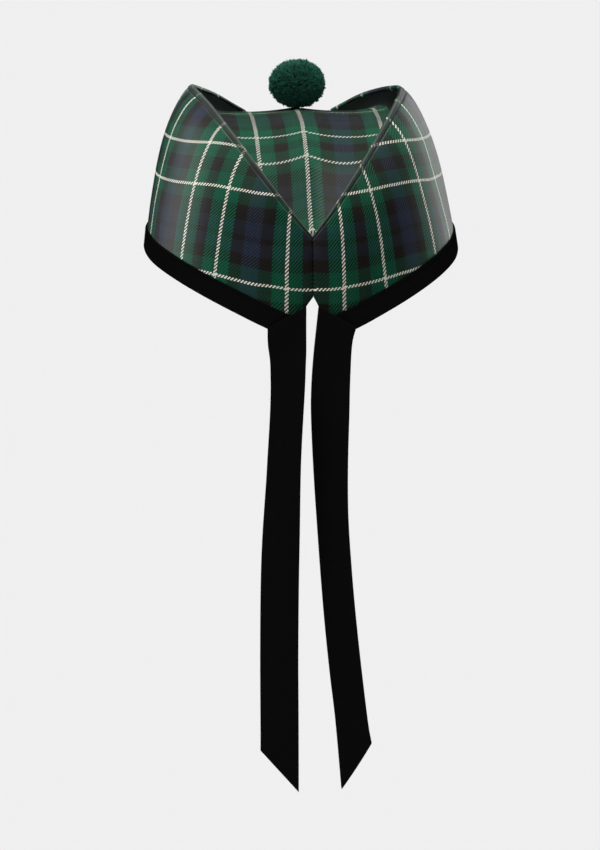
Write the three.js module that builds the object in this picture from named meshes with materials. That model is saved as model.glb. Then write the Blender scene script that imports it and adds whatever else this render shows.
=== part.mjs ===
// Glengarry, a boat-shaped cloth cap with a ribbon-bound rim, two ribbon tails and a pompom.
// Millimetres, +Z up, +Y to the wearer's front. The origin is the middle of the head opening,
// level with the rim at the ears.
import * as THREE from "three";

// Cloth and ribbon
const wallThickness = 2.4;
const crownThickness = 1.6;
const ribbonThickness = 1;
const ribbonWidth = 22.5;
const seatGap = 0.3;

// Plan of the rim and of the walls' top edge, both ellipses
const rimHalfWidth = 92.4;
const rimHalfLength = 102.2;
const edgeHalfWidth = 61.6;
const edgeHalfLength = 101;
const edgeForward = 9;
const shoulderRise = 0.86;

// Split at the foot of the back seam: half its width, and how far up the seam it narrows and ends
const splitHalfWidth = 4;
const splitNarrows = 0.25;
const splitEnds = 0.325;

// Pompom
const toorieHalfWidth = 16.6;
const toorieHalfHeight = 14.7;
const toorieForward = 37;
const lockCount = 64;
const lockDepth = 1.8;
const lockSpread = 0.17;

// Sections of the walls and crown. turn goes from the back seam, 0, to the front seam, 180.
const sections = [
  { turn: 0, rimZ: -39.6, edgeZ: 23.0, bulge: 6, sag: 0.5 },
  { turn: 15, rimZ: -30.6, edgeZ: 44.0, bulge: 8.5, sag: 2 },
  { turn: 30, rimZ: -20.9, edgeZ: 64.0, bulge: 10.6, sag: 4 },
  { turn: 45, rimZ: -12.8, edgeZ: 80.6, bulge: 12.5, sag: 5.5 },
  { turn: 60, rimZ: -6.7, edgeZ: 92.0, bulge: 14, sag: 5 },
  { turn: 75, rimZ: -2.8, edgeZ: 96.4, bulge: 15.3, sag: 4.5 },
  { turn: 90, rimZ: 0, edgeZ: 96.0, bulge: 16.3, sag: 4.2 },
  { turn: 105, rimZ: 0, edgeZ: 92.3, bulge: 15.3, sag: 4 },
  { turn: 120, rimZ: 0, edgeZ: 87.0, bulge: 14, sag: 4 },
  { turn: 135, rimZ: 0, edgeZ: 80.0, bulge: 12.5, sag: 3.5 },
  { turn: 150, rimZ: 0, edgeZ: 70.3, bulge: 10.6, sag: 3 },
  { turn: 165, rimZ: 0, edgeZ: 60.3, bulge: 8.5, sag: 2 },
  { turn: 180, rimZ: 0, edgeZ: 50.0, bulge: 6, sag: 0.5 },
];

// Crease along the middle of the crown, from the back to the front
const crease = [
  { y: -92, z: 23 },
  { y: -74, z: 40.6 },
  { y: -51, z: 64 },
  { y: -28, z: 73.8 },
  { y: 20, z: 78.6 },
  { y: 45, z: 76.8 },
  { y: 78, z: 66 },
  { y: 110, z: 48 },
];

// Ribbon tails from the fold over the band to the slanted tip. x is measured outwards from the middle.
// yaw turns the outer edge forwards, cup bows the ribbon, slant lowers the outer edge of a row.
const tailRows = {
  tail_left: [
    { z: -21.5, x: 15.6, y: -102.9, yaw: 12, cup: 0.5, slant: 6.6 },
    { z: -38, x: 15.5, y: -103, yaw: 14, cup: 0.6, slant: 0 },
    { z: -56, x: 15.2, y: -103.4, yaw: 32, cup: 1, slant: 0 },
    { z: -111, x: 17.5, y: -104.2, yaw: 34, cup: 1.6, slant: 0 },
    { z: -165, x: 19.6, y: -103.6, yaw: 17, cup: 1, slant: 0 },
    { z: -219, x: 20.2, y: -103, yaw: 12, cup: 0.6, slant: 0 },
    { z: -272, x: 20.1, y: -103.4, yaw: 9, cup: 0.4, slant: 0 },
    { z: -293.5, x: 20.1, y: -103.6, yaw: 8, cup: 0.3, slant: -12.5 },
  ],
  tail_right: [
    { z: -21.5, x: 13.6, y: -103.2, yaw: 11, cup: 0.5, slant: 6.6 },
    { z: -38, x: 11.2, y: -103.4, yaw: 10, cup: 0.5, slant: 0 },
    { z: -58, x: 9.8, y: -104, yaw: 2, cup: 0.8, slant: 0 },
    { z: -88, x: 9.3, y: -104.4, yaw: -22, cup: 1.2, slant: 0 },
    { z: -130, x: 10.2, y: -104, yaw: -37, cup: 1.6, slant: 0 },
    { z: -172, x: 13, y: -103.4, yaw: -40, cup: 1.4, slant: 0 },
    { z: -239, x: 19.3, y: -103, yaw: -38, cup: 1, slant: 0 },
    { z: -264, x: 22.3, y: -103.2, yaw: -36, cup: 0.7, slant: 0 },
    { z: -290.5, x: 25.3, y: -103.4, yaw: -34, cup: 0.5, slant: -14.5 },
  ],
};

// Fineness of the solids
const wallStations = 26;
const lowLevels = [0, 0.065, 0.13, 0.19, splitNarrows, 0.29, splitEnds];
const wallLevels = [...lowLevels, 0.42, 0.52, 0.62, 0.72, 0.81, 0.89, 0.95, 1];
const bindingStations = 56;
const crownStations = 34;
const crownSteps = 9;
const tailStations = 22;
const tailSteps = 3;
const toorieDetail = 9;

const radians = THREE.MathUtils.degToRad;
const lerp = THREE.MathUtils.lerp;

// Smooth curve through the rows of a table: the value of one column where another has the given value.
function between(rows, key, at, column) {
  const last = rows.length - 1;
  const rise = (i) => (rows[i + 1][column] - rows[i][column]) / (rows[i + 1][key] - rows[i][key]);
  const slope = (i) => {
    if (i === 0) return rise(0);
    if (i === last) return rise(last - 1);
    const before = rows[i][key] - rows[i - 1][key];
    const after = rows[i + 1][key] - rows[i][key];
    return (rise(i - 1) * after + rise(i) * before) / (before + after);
  };
  const sign = Math.sign(rows[last][key] - rows[0][key]);
  let i = 0;
  while (i < last - 1 && sign * at > sign * rows[i + 1][key]) i += 1;
  const step = rows[i + 1][key] - rows[i][key];
  const t = (at - rows[i][key]) / step;
  const square = t * t;
  const cube = square * t;
  return (
    (2 * cube - 3 * square + 1) * rows[i][column] +
    (cube - 2 * square + t) * step * slope(i) +
    (3 * square - 2 * cube) * rows[i + 1][column] +
    (cube - square) * step * slope(i + 1)
  );
}

// Closed solid through rings of points. Each ring is a thin strip: its first half runs along one face
// and its second half comes back along the other, so the end rings are closed face to face.
function loft(rings) {
  const count = rings[0].length;
  const positions = rings.flat().flatMap((p) => p.toArray());
  const index = [];
  const quad = (a, b, c, d) => index.push(a, b, c, a, c, d);
  for (let r = 0; r < rings.length - 1; r += 1) {
    for (let i = 0; i < count; i += 1) {
      const j = (i + 1) % count;
      quad(r * count + i, r * count + j, (r + 1) * count + j, (r + 1) * count + i);
    }
  }
  const end = (rings.length - 1) * count;
  for (let i = 0; i < count / 2 - 1; i += 1) {
    const back = count - 1 - i;
    quad(i, back, back - 1, i + 1);
    quad(end + i, end + i + 1, end + back - 1, end + back);
  }
  const geometry = new THREE.BufferGeometry();
  geometry.setAttribute("position", new THREE.Float32BufferAttribute(positions, 3));
  geometry.setIndex(faceOutwards(positions, index));
  geometry.computeVertexNormals();
  return geometry;
}

// Triangles in the order that gives the solid a positive volume.
function faceOutwards(positions, index) {
  const corner = (i) => new THREE.Vector3().fromArray(positions, 3 * i);
  let volume = 0;
  for (let i = 0; i < index.length; i += 3) {
    volume += corner(index[i]).dot(corner(index[i + 1]).cross(corner(index[i + 2])));
  }
  return volume < 0 ? index.reverse() : index;
}

// Point of the walls' outer face: round the hat by turn, and up it by rise from the rim, 0, to the edge, 1.
function wallPoint(turn, rise) {
  const angle = radians(turn);
  const out = new THREE.Vector3(Math.sin(angle), -Math.cos(angle), 0);
  const rimZ = between(sections, "turn", turn, "rimZ") + seatGap + ribbonThickness;
  const edgeZ = between(sections, "turn", turn, "edgeZ");
  const rim = new THREE.Vector3(rimHalfWidth * out.x, rimHalfLength * out.y, rimZ);
  const edge = new THREE.Vector3(edgeHalfWidth * out.x, edgeForward + edgeHalfLength * out.y, edgeZ);
  const shoulder = rim.clone().lerp(edge, shoulderRise);
  shoulder.addScaledVector(out, between(sections, "turn", turn, "bulge"));
  return new THREE.QuadraticBezierCurve3(rim, shoulder, edge).getPoint(rise);
}

// Point of the walls' outer face with its outward normal and the direction up the wall.
function wallFrame(turn, rise) {
  const nudge = 0.5;
  const reach = 0.01;
  const before = Math.max(turn - nudge, 0);
  const after = Math.min(turn + nudge, 180);
  const low = Math.max(rise - reach, 0);
  const high = Math.min(rise + reach, 1);
  const along = wallPoint(after, rise).sub(wallPoint(before, rise));
  const up = wallPoint(turn, high).sub(wallPoint(turn, low)).normalize();
  const normal = along.cross(up).normalize();
  return { point: wallPoint(turn, rise), normal, up };
}

// Where a wall starts at the back: at the seam, or at the side of the split below it.
function startTurn(rise) {
  const closed = THREE.MathUtils.smoothstep(rise, splitNarrows, splitEnds);
  const halfWidth = lerp(splitHalfWidth, seatGap / 2, closed);
  return THREE.MathUtils.radToDeg(Math.asin(halfWidth / rimHalfWidth));
}

// Face of a wall at one station, set in from the outer face, with a softened top edge.
function wallFace(share, inset, side) {
  const softening = 0.35;
  const face = wallLevels.map((rise) => {
    const turn = lerp(startTurn(rise), 180, share);
    const { point, normal } = wallFrame(turn, rise);
    return point.addScaledVector(normal, -inset);
  });
  const { point, normal, up } = wallFrame(lerp(startTurn(1), 180, share), 1);
  const inwards = lerp(wallThickness / 2, inset, 1 - softening);
  face.push(point.addScaledVector(normal, -inwards).addScaledVector(up, softening * wallThickness));
  return face.map((p) => new THREE.Vector3(side * Math.max(p.x, seatGap / 2), p.y, p.z));
}

function wall(side) {
  const rings = [];
  for (let i = 0; i <= wallStations; i += 1) {
    const share = i / wallStations;
    rings.push([...wallFace(share, 0, side), ...wallFace(share, wallThickness, side).reverse()]);
  }
  for (const p of rings[wallStations]) p.x = side * (seatGap / 2);
  return loft(rings);
}

// Crown's middle layer: across the hat by share from the left edge, -1, to the right edge, 1. It falls
// from the crease to a flat hollow, then climbs steeply to the walls' top edge.
function crownPoint(turn, share) {
  const belowEdge = 0.985;
  const crowding = 2.2;
  const steepness = 34;
  const { point, normal } = wallFrame(turn, belowEdge);
  const edge = point.addScaledVector(normal, -(wallThickness + seatGap + crownThickness / 2));
  const creaseZ = between(crease, "y", edge.y, "z");
  const sag = between(sections, "turn", turn, "sag");
  const out = 1 - (1 - Math.abs(share)) ** crowding;
  const hollow = 4 * sag * out * (1 - out);
  const climb = (edge.z - creaseZ) * out ** steepness;
  return new THREE.Vector3(Math.sign(share) * out * edge.x, edge.y, creaseZ - hollow + climb);
}

function crownNormal(turn, share) {
  const nudge = 0.5;
  const reach = 0.02;
  const rightward = crownPoint(turn, Math.min(share + reach, 1));
  rightward.sub(crownPoint(turn, Math.max(share - reach, -1)));
  const forward = crownPoint(turn + nudge, share).sub(crownPoint(turn - nudge, share));
  return rightward.cross(forward).normalize();
}

function crown() {
  const firstTurn = 5;
  const lastTurn = 175;
  const rings = [];
  for (let i = 0; i <= crownStations; i += 1) {
    const turn = lerp(firstTurn, lastTurn, i / crownStations);
    const upper = [];
    const lower = [];
    for (let j = -crownSteps; j <= crownSteps; j += 1) {
      const share = j / crownSteps;
      const normal = crownNormal(turn, share);
      upper.push(crownPoint(turn, share).addScaledVector(normal, crownThickness / 2));
      lower.unshift(crownPoint(turn, share).addScaledVector(normal, -crownThickness / 2));
    }
    rings.push([...upper, ...lower]);
  }
  return loft(rings);
}

// One face of the ribbon folded over the rim, standing off the wall by offset: down the outside,
// round the rim and up the inside.
function bindingFace(turn, offset) {
  const rounding = 0.7;
  const nudge = 1;
  const lowStretch = 0.2;
  const foot = wallFrame(turn, 0);
  const before = wallPoint(Math.max(turn - nudge, 0), 0);
  const after = wallPoint(turn + nudge, 0);
  const slope = Math.atan2(after.z - before.z, Math.hypot(after.x - before.x, after.y - before.y));
  const wallLength = wallPoint(turn, lowStretch).distanceTo(foot.point) / lowStretch;
  const top = ribbonWidth / 2 / Math.cos(slope) / wallLength;
  const outside = [];
  const inside = [];
  for (const rise of [top, top / 2, 0]) {
    const { point, normal } = wallFrame(turn, rise);
    outside.push(point.clone().addScaledVector(normal, offset));
    inside.unshift(point.addScaledVector(normal, -wallThickness - offset));
  }
  const under = (out, down) => {
    const point = foot.point.clone().addScaledVector(foot.normal, out);
    return point.addScaledVector(foot.up, -down);
  };
  outside.push(under(rounding * offset, rounding * offset), under(0, offset));
  inside.unshift(under(-wallThickness, offset), under(-wallThickness - rounding * offset, rounding * offset));
  return [...outside, ...inside];
}

function binding() {
  const first = startTurn(0);
  const rings = [];
  for (let i = 0; i <= bindingStations; i += 1) {
    const turn = lerp(first, 360 - first, i / bindingStations);
    const side = turn > 180 ? -1 : 1;
    const near = turn > 180 ? 360 - turn : turn;
    const outer = bindingFace(near, seatGap + ribbonThickness);
    const inner = bindingFace(near, seatGap).reverse();
    const ring = [...outer, ...inner];
    for (const p of ring) p.x *= side;
    rings.push(ring);
  }
  return loft(rings);
}

// Point of a ribbon tail's middle layer: down it by drop from 0 to 1, across it from inner, -1, to outer, 1.
function tailPoint(rows, drop, across, side) {
  const z = lerp(rows[0].z, rows[rows.length - 1].z, drop);
  const value = (column) => between(rows, "z", z, column);
  const yaw = radians(value("yaw"));
  const reach = (ribbonWidth / 2) * across;
  const bow = value("cup") * (1 - across * across);
  return new THREE.Vector3(
    side * (value("x") + reach * Math.cos(yaw) - bow * Math.sin(yaw)),
    value("y") + reach * Math.sin(yaw) - bow * Math.cos(yaw),
    z - value("slant") * across,
  );
}

function tail(name, side) {
  const rows = tailRows[name];
  const rings = [];
  for (let i = 0; i <= tailStations; i += 1) {
    const drop = i / tailStations;
    const front = [];
    const back = [];
    for (let j = 0; j <= tailSteps; j += 1) {
      const across = (2 * j) / tailSteps - 1;
      const z = lerp(rows[0].z, rows[rows.length - 1].z, drop);
      const yaw = radians(between(rows, "z", z, "yaw"));
      const normal = new THREE.Vector3(side * Math.sin(yaw), -Math.cos(yaw), 0);
      const middle = tailPoint(rows, drop, across, side);
      front.push(middle.clone().addScaledVector(normal, ribbonThickness / 2));
      back.unshift(middle.addScaledVector(normal, -ribbonThickness / 2));
    }
    rings.push([...front, ...back]);
  }
  return loft(rings);
}

// Pompom: locks of yarn spread evenly over a ball, pressed flat where it sits on the crown.
function toorie() {
  const seat = between(crease, "y", toorieForward, "z") + crownThickness / 2 + seatGap;
  const centre = new THREE.Vector3(0, toorieForward, seat + toorieHalfHeight - lockDepth / 2);
  const squat = new THREE.Vector3(1, 1, toorieHalfHeight / toorieHalfWidth);
  const goldenAngle = Math.PI * (3 - Math.sqrt(5));
  const locks = [];
  for (let i = 0; i < lockCount; i += 1) {
    const height = 1 - (2 * (i + 0.5)) / lockCount;
    const ring = Math.sqrt(1 - height * height);
    locks.push(new THREE.Vector3(ring * Math.cos(goldenAngle * i), ring * Math.sin(goldenAngle * i), height));
  }
  const geometry = new THREE.IcosahedronGeometry(1, toorieDetail);
  const points = geometry.getAttribute("position");
  const direction = new THREE.Vector3();
  for (let i = 0; i < points.count; i += 1) {
    direction.fromBufferAttribute(points, i).normalize();
    const nearest = Math.min(...locks.map((lock) => lock.angleTo(direction)));
    const fullness = Math.exp(-((nearest / lockSpread) ** 2) / 2);
    direction.multiplyScalar(toorieHalfWidth - lockDepth * (1 - fullness)).multiply(squat).add(centre);
    direction.z = Math.max(direction.z, seat);
    points.setXYZ(i, direction.x, direction.y, direction.z);
  }
  geometry.computeVertexNormals();
  return geometry;
}

const tartan = { color: 0x14402f, roughness: 0.95, metalness: 0 };
const blackRibbon = { color: 0x0b0b0c, roughness: 0.8, metalness: 0 };
const greenYarn = { color: 0x0b3a2b, roughness: 1, metalness: 0 };

const pieces = [
  ["side_left", wall(-1), tartan],
  ["side_right", wall(1), tartan],
  ["crown", crown(), tartan],
  ["binding", binding(), blackRibbon],
  ["tail_left", tail("tail_left", -1), blackRibbon],
  ["tail_right", tail("tail_right", 1), blackRibbon],
  ["toorie", toorie(), greenYarn],
];

const glengarry = new THREE.Group();
glengarry.name = "glengarry";
for (const [name, geometry, look] of pieces) {
  const mesh = new THREE.Mesh(geometry, new THREE.MeshStandardMaterial(look));
  mesh.name = name;
  glengarry.add(mesh);
}

export default glengarry;
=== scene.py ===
import math
import bmesh
import bpy
import numpy as np
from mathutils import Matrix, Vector


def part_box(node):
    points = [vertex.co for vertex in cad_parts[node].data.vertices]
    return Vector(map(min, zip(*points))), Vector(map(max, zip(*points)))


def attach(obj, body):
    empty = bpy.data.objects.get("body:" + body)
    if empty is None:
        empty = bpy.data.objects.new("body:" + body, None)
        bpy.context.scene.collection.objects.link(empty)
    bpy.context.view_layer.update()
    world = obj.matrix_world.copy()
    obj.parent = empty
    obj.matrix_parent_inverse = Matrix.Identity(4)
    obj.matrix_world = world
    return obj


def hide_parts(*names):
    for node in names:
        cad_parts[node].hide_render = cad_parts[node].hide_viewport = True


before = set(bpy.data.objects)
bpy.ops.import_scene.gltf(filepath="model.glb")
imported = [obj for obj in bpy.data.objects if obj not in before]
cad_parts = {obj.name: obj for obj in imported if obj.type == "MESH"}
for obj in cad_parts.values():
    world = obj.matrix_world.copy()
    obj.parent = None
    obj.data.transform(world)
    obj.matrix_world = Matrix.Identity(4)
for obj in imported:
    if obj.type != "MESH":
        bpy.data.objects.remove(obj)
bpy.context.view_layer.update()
mm = 0.001  # sizes below are in millimetres, meshes in metres


# Materials start from a plain shader

def newMaterial(name):
    material = bpy.data.materials.new(name)
    material.use_nodes = True
    return material, material.node_tree, material.node_tree.nodes["Principled BSDF"]


def giveFinish(shader, finish):
    for label, value in finish.items():
        shader.inputs[label].default_value = value


# Camera and studio

studio = {
    "azimuth": -4.2,          # degrees round the cap from straight behind
    "elevation": 12.5,
    "distance": 3000,
    "target": (-0.5, 0, -108.2),   # what the middle of the picture looks at
    "mmPerPixel": 0.6,        # at the target
    "imageHeight": 850,
    "sensor": 36,
    "floorZ": -1000,          # the cap is held up as on a head, well clear of the floor
    "floorSize": 60000,
    "floorFinish": {"Base Color": (0.8, 0.8, 0.8, 1), "Roughness": 1, "Specular IOR Level": 0},
    "worldLight": 0.22,
    # name, azimuth, elevation, strength, softness in degrees, what it lights, soft light or only gloss
    "suns": [
        ("keySun", -40, 80, 2.3, 30, "all", "soft"),
        ("upperSun", -100, 77, 4.1, 30, "sides", "soft"),
        ("leftSun", -80, 32, 2.4, 40, "sides", "soft"),
        ("rightSun", 100, 5, 0.5, 40, "sides", "soft"),
        ("highRightSun", 105, 48, 2.0, 40, "sides", "soft"),
        ("leftGlance", -115, 0, 2.6, 30, "sides", "glancing"),
        ("rightGlance", 141, 4, 2.2, 38, "sides", "glancing"),
        ("topSun", 25, 80, 5.0, 30, "crown", "soft"),
        ("backdropSun", 0, 85, 0.45, 60, "floor", "soft"),
    ],
    "lit": {                  # what the lights for only some things shine on
        "floor": bpy.data.collections.new("litFloor"),
        "sides": bpy.data.collections.new("litSides"),
        "crown": bpy.data.collections.new("litCrown"),
    },
}


def towards(azimuth, elevation):
    a = math.radians(azimuth)
    e = math.radians(elevation)
    return np.array([math.sin(a) * math.cos(e), -math.cos(a) * math.cos(e), math.sin(e)])


def pointAt(obj, direction):
    obj.rotation_euler = Vector(direction).to_track_quat("Z", "Y").to_euler()


def addCamera():
    back = towards(studio["azimuth"], studio["elevation"])
    data = bpy.data.cameras.new("photoCamera")
    data.sensor_width = studio["sensor"]
    data.lens = studio["sensor"] * studio["distance"] / (studio["imageHeight"] * studio["mmPerPixel"])
    data.clip_end = 100
    camera = bpy.data.objects.new("photoCamera", data)
    bpy.context.collection.objects.link(camera)
    camera.location = (np.array(studio["target"]) + back * studio["distance"]) * mm
    pointAt(camera, back)
    bpy.context.scene.camera = camera


def addLights():
    world = bpy.data.worlds.new("paleRoom")
    world.use_nodes = True
    world.node_tree.nodes["Background"].inputs["Color"].default_value = (1, 1, 1, 1)
    world.node_tree.nodes["Background"].inputs["Strength"].default_value = studio["worldLight"]
    world.cycles_visibility.glossy = False
    bpy.context.scene.world = world
    for name, azimuth, elevation, strength, softness, lights, kind in studio["suns"]:
        data = bpy.data.lights.new(name, "SUN")
        data.energy = strength
        data.angle = math.radians(softness)
        sun = bpy.data.objects.new(name, data)
        bpy.context.collection.objects.link(sun)
        pointAt(sun, towards(azimuth, elevation))
        sun.visible_glossy = kind == "glancing"
        sun.visible_diffuse = kind == "soft"
        if lights in studio["lit"]:
            sun.light_linking.receiver_collection = studio["lit"][lights]
    bpy.context.scene.view_settings.view_transform = "Standard"


def addFloor():
    half = studio["floorSize"] / 2 * mm
    z = studio["floorZ"] * mm
    mesh = bpy.data.meshes.new("floor")
    corners = [(-half, -half, z), (half, -half, z), (half, half, z), (-half, half, z)]
    mesh.from_pydata(corners, [], [(0, 1, 2, 3)])
    floor = bpy.data.objects.new("floor", mesh)
    bpy.context.collection.objects.link(floor)
    paper, tree, shader = newMaterial("palePaper")
    giveFinish(shader, studio["floorFinish"])
    mesh.materials.append(paper)
    floor.visible_glossy = False          # no gloss from the floor or the room, only from the glancing suns
    studio["lit"]["floor"].objects.link(floor)


addCamera()
addFloor()
addLights()
print("studio ready")


# Node helpers for the materials

def plug(tree, value, socket):
    if isinstance(value, bpy.types.NodeSocket):
        tree.links.new(value, socket)
    else:
        socket.default_value = value


def calc(tree, operation, *values):
    node = tree.nodes.new("ShaderNodeMath")
    node.operation = operation
    for value, socket in zip(values, node.inputs):
        plug(tree, value, socket)
    return node.outputs[0]


def blendColours(tree, share, first, second, mode="MIX"):
    node = tree.nodes.new("ShaderNodeMix")
    node.data_type = "RGBA"
    node.blend_type = mode
    plug(tree, share, node.inputs[0])
    plug(tree, first, node.inputs[6])
    plug(tree, second, node.inputs[7])
    return node.outputs[2]


def noise(tree, place, scale, detail=2):
    node = tree.nodes.new("ShaderNodeTexNoise")
    node.inputs["Scale"].default_value = scale
    node.inputs["Detail"].default_value = detail
    if place is not None:
        tree.links.new(place, node.inputs["Vector"])
    return node.outputs["Fac"]


def readMap(tree):
    node = tree.nodes.new("ShaderNodeUVMap")
    node.uv_map = "weave"
    split = tree.nodes.new("ShaderNodeSeparateXYZ")
    tree.links.new(node.outputs["UV"], split.inputs[0])
    return node.outputs["UV"], split.outputs["X"], split.outputs["Y"]


def readPaint(tree, label):
    node = tree.nodes.new("ShaderNodeAttribute")
    node.attribute_name = label
    return node.outputs["Fac"]


def addBump(tree, shader, height, strength, depth):
    node = tree.nodes.new("ShaderNodeBump")
    node.inputs["Strength"].default_value = strength
    node.inputs["Distance"].default_value = depth * mm
    plug(tree, height, node.inputs["Height"])
    tree.links.new(node.outputs["Normal"], shader.inputs["Normal"])


# Tartan: a two-and-two twill, its warp and weft charted in threads

tartan = {
    "warpThread": 0.559,
    "weftThread": 0.556,
    "colours": {
        "green": (0.0020, 0.054, 0.028),
        "navy": (0.0135, 0.0185, 0.033),
        "black": (0.0098, 0.0085, 0.0074),
    },
    "sideCream": (0.58, 0.557, 0.475),
    # painted shade: the crown's cream is a darker copy of the side cream, for the crown sunk in shade between
    # the walls
    "shadedCrownCream": (0.36, 0.35, 0.30),
    "warp": [
        ("cream", 4), ("green", 14), ("black", 15), ("navy", 21), ("black", 15), ("green", 15),
        ("cream", 4), ("green", 15), ("black", 15), ("green", 16),
    ],
    "weft": [
        ("cream", 3), ("green", 15), ("black", 13), ("navy", 14), ("black", 6), ("navy", 15),
        ("black", 15), ("green", 14), ("cream", 3), ("green", 14), ("black", 15), ("green", 14),
    ],
    "swell": 0.01,            # cream yarn is thicker, so its floats reach further
    "stray": 0.9,             # threads stray this far from straight, over long waves
    "strayScale": 0.06,
    "plainBright": 0.62,      # least brightness, and what the dye and the fibres add to it
    "dyeBright": 0.22,
    "fibreBright": 0.36,
    "fibreScale": 2.6,
    "worn": 0.25,             # broad patches of wear
    "wornScale": 0.035,
    "hollowBright": 0.68,     # painted shade, darker between the threads
    "padBright": 0.5,
    "sheenAndWear": (0.172, 0.175, 0.152),   # colour of painted sheen, and of wear at the folds, patchy with the fibres
    "sheenAndWearPatch": 0.3,
    # dark colour painted on the welt, and also as painted shade on the crown's flanks and towards its front
    "weltColour": (0.012, 0.016, 0.015),
    "weltShade": 0.75,
    # the coat is the faint gloss of fibres that lie along the cloth
    "finish": {"Roughness": 0.8, "Specular IOR Level": 0.02, "Coat Weight": 0.25, "Coat Roughness": 0.45},
    "warpBright": 1.3,        # warp floats catch more light than weft floats
    "weftBright": 0.7,
    "bump": 0.2,
    "bumpDepth": 0.3,
    "fibreBump": 0.5,
}


def threadCount(chart):
    return sum(count for colour, count in chart)


def chartColours(tree, place, chart, colours):
    ramp = tree.nodes.new("ShaderNodeValToRGB")
    ramp.color_ramp.interpolation = "CONSTANT"
    stops = ramp.color_ramp.elements
    total = threadCount(chart)
    start = 0
    for i, (colour, count) in enumerate(chart):
        stop = stops[i] if i < 2 else stops.new(start / total)    # a new ramp has two stops
        stop.position = start / total
        stop.color = (*colours[colour], 1)
        start += count
    turns = calc(tree, "DIVIDE", calc(tree, "ADD", place, 0.5), total)    # read in the middle of a thread
    tree.links.new(calc(tree, "FRACT", turns), ramp.inputs[0])
    return ramp.outputs["Color"]


def roundThread(tree, place):
    offset = calc(tree, "SUBTRACT", place, 0.5)
    height = calc(tree, "SUBTRACT", 1, calc(tree, "MULTIPLY", calc(tree, "MULTIPLY", offset, offset), 4))
    return calc(tree, "MAXIMUM", height, 0)


def longFloat(tree, start):
    # where a swollen float shows, against the two threads of a plain one
    swell = tartan["swell"]
    place = calc(tree, "FLOORED_MODULO", calc(tree, "ADD", start, swell), 4)
    return calc(tree, "LESS_THAN", place, 2 + 2 * swell)


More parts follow.
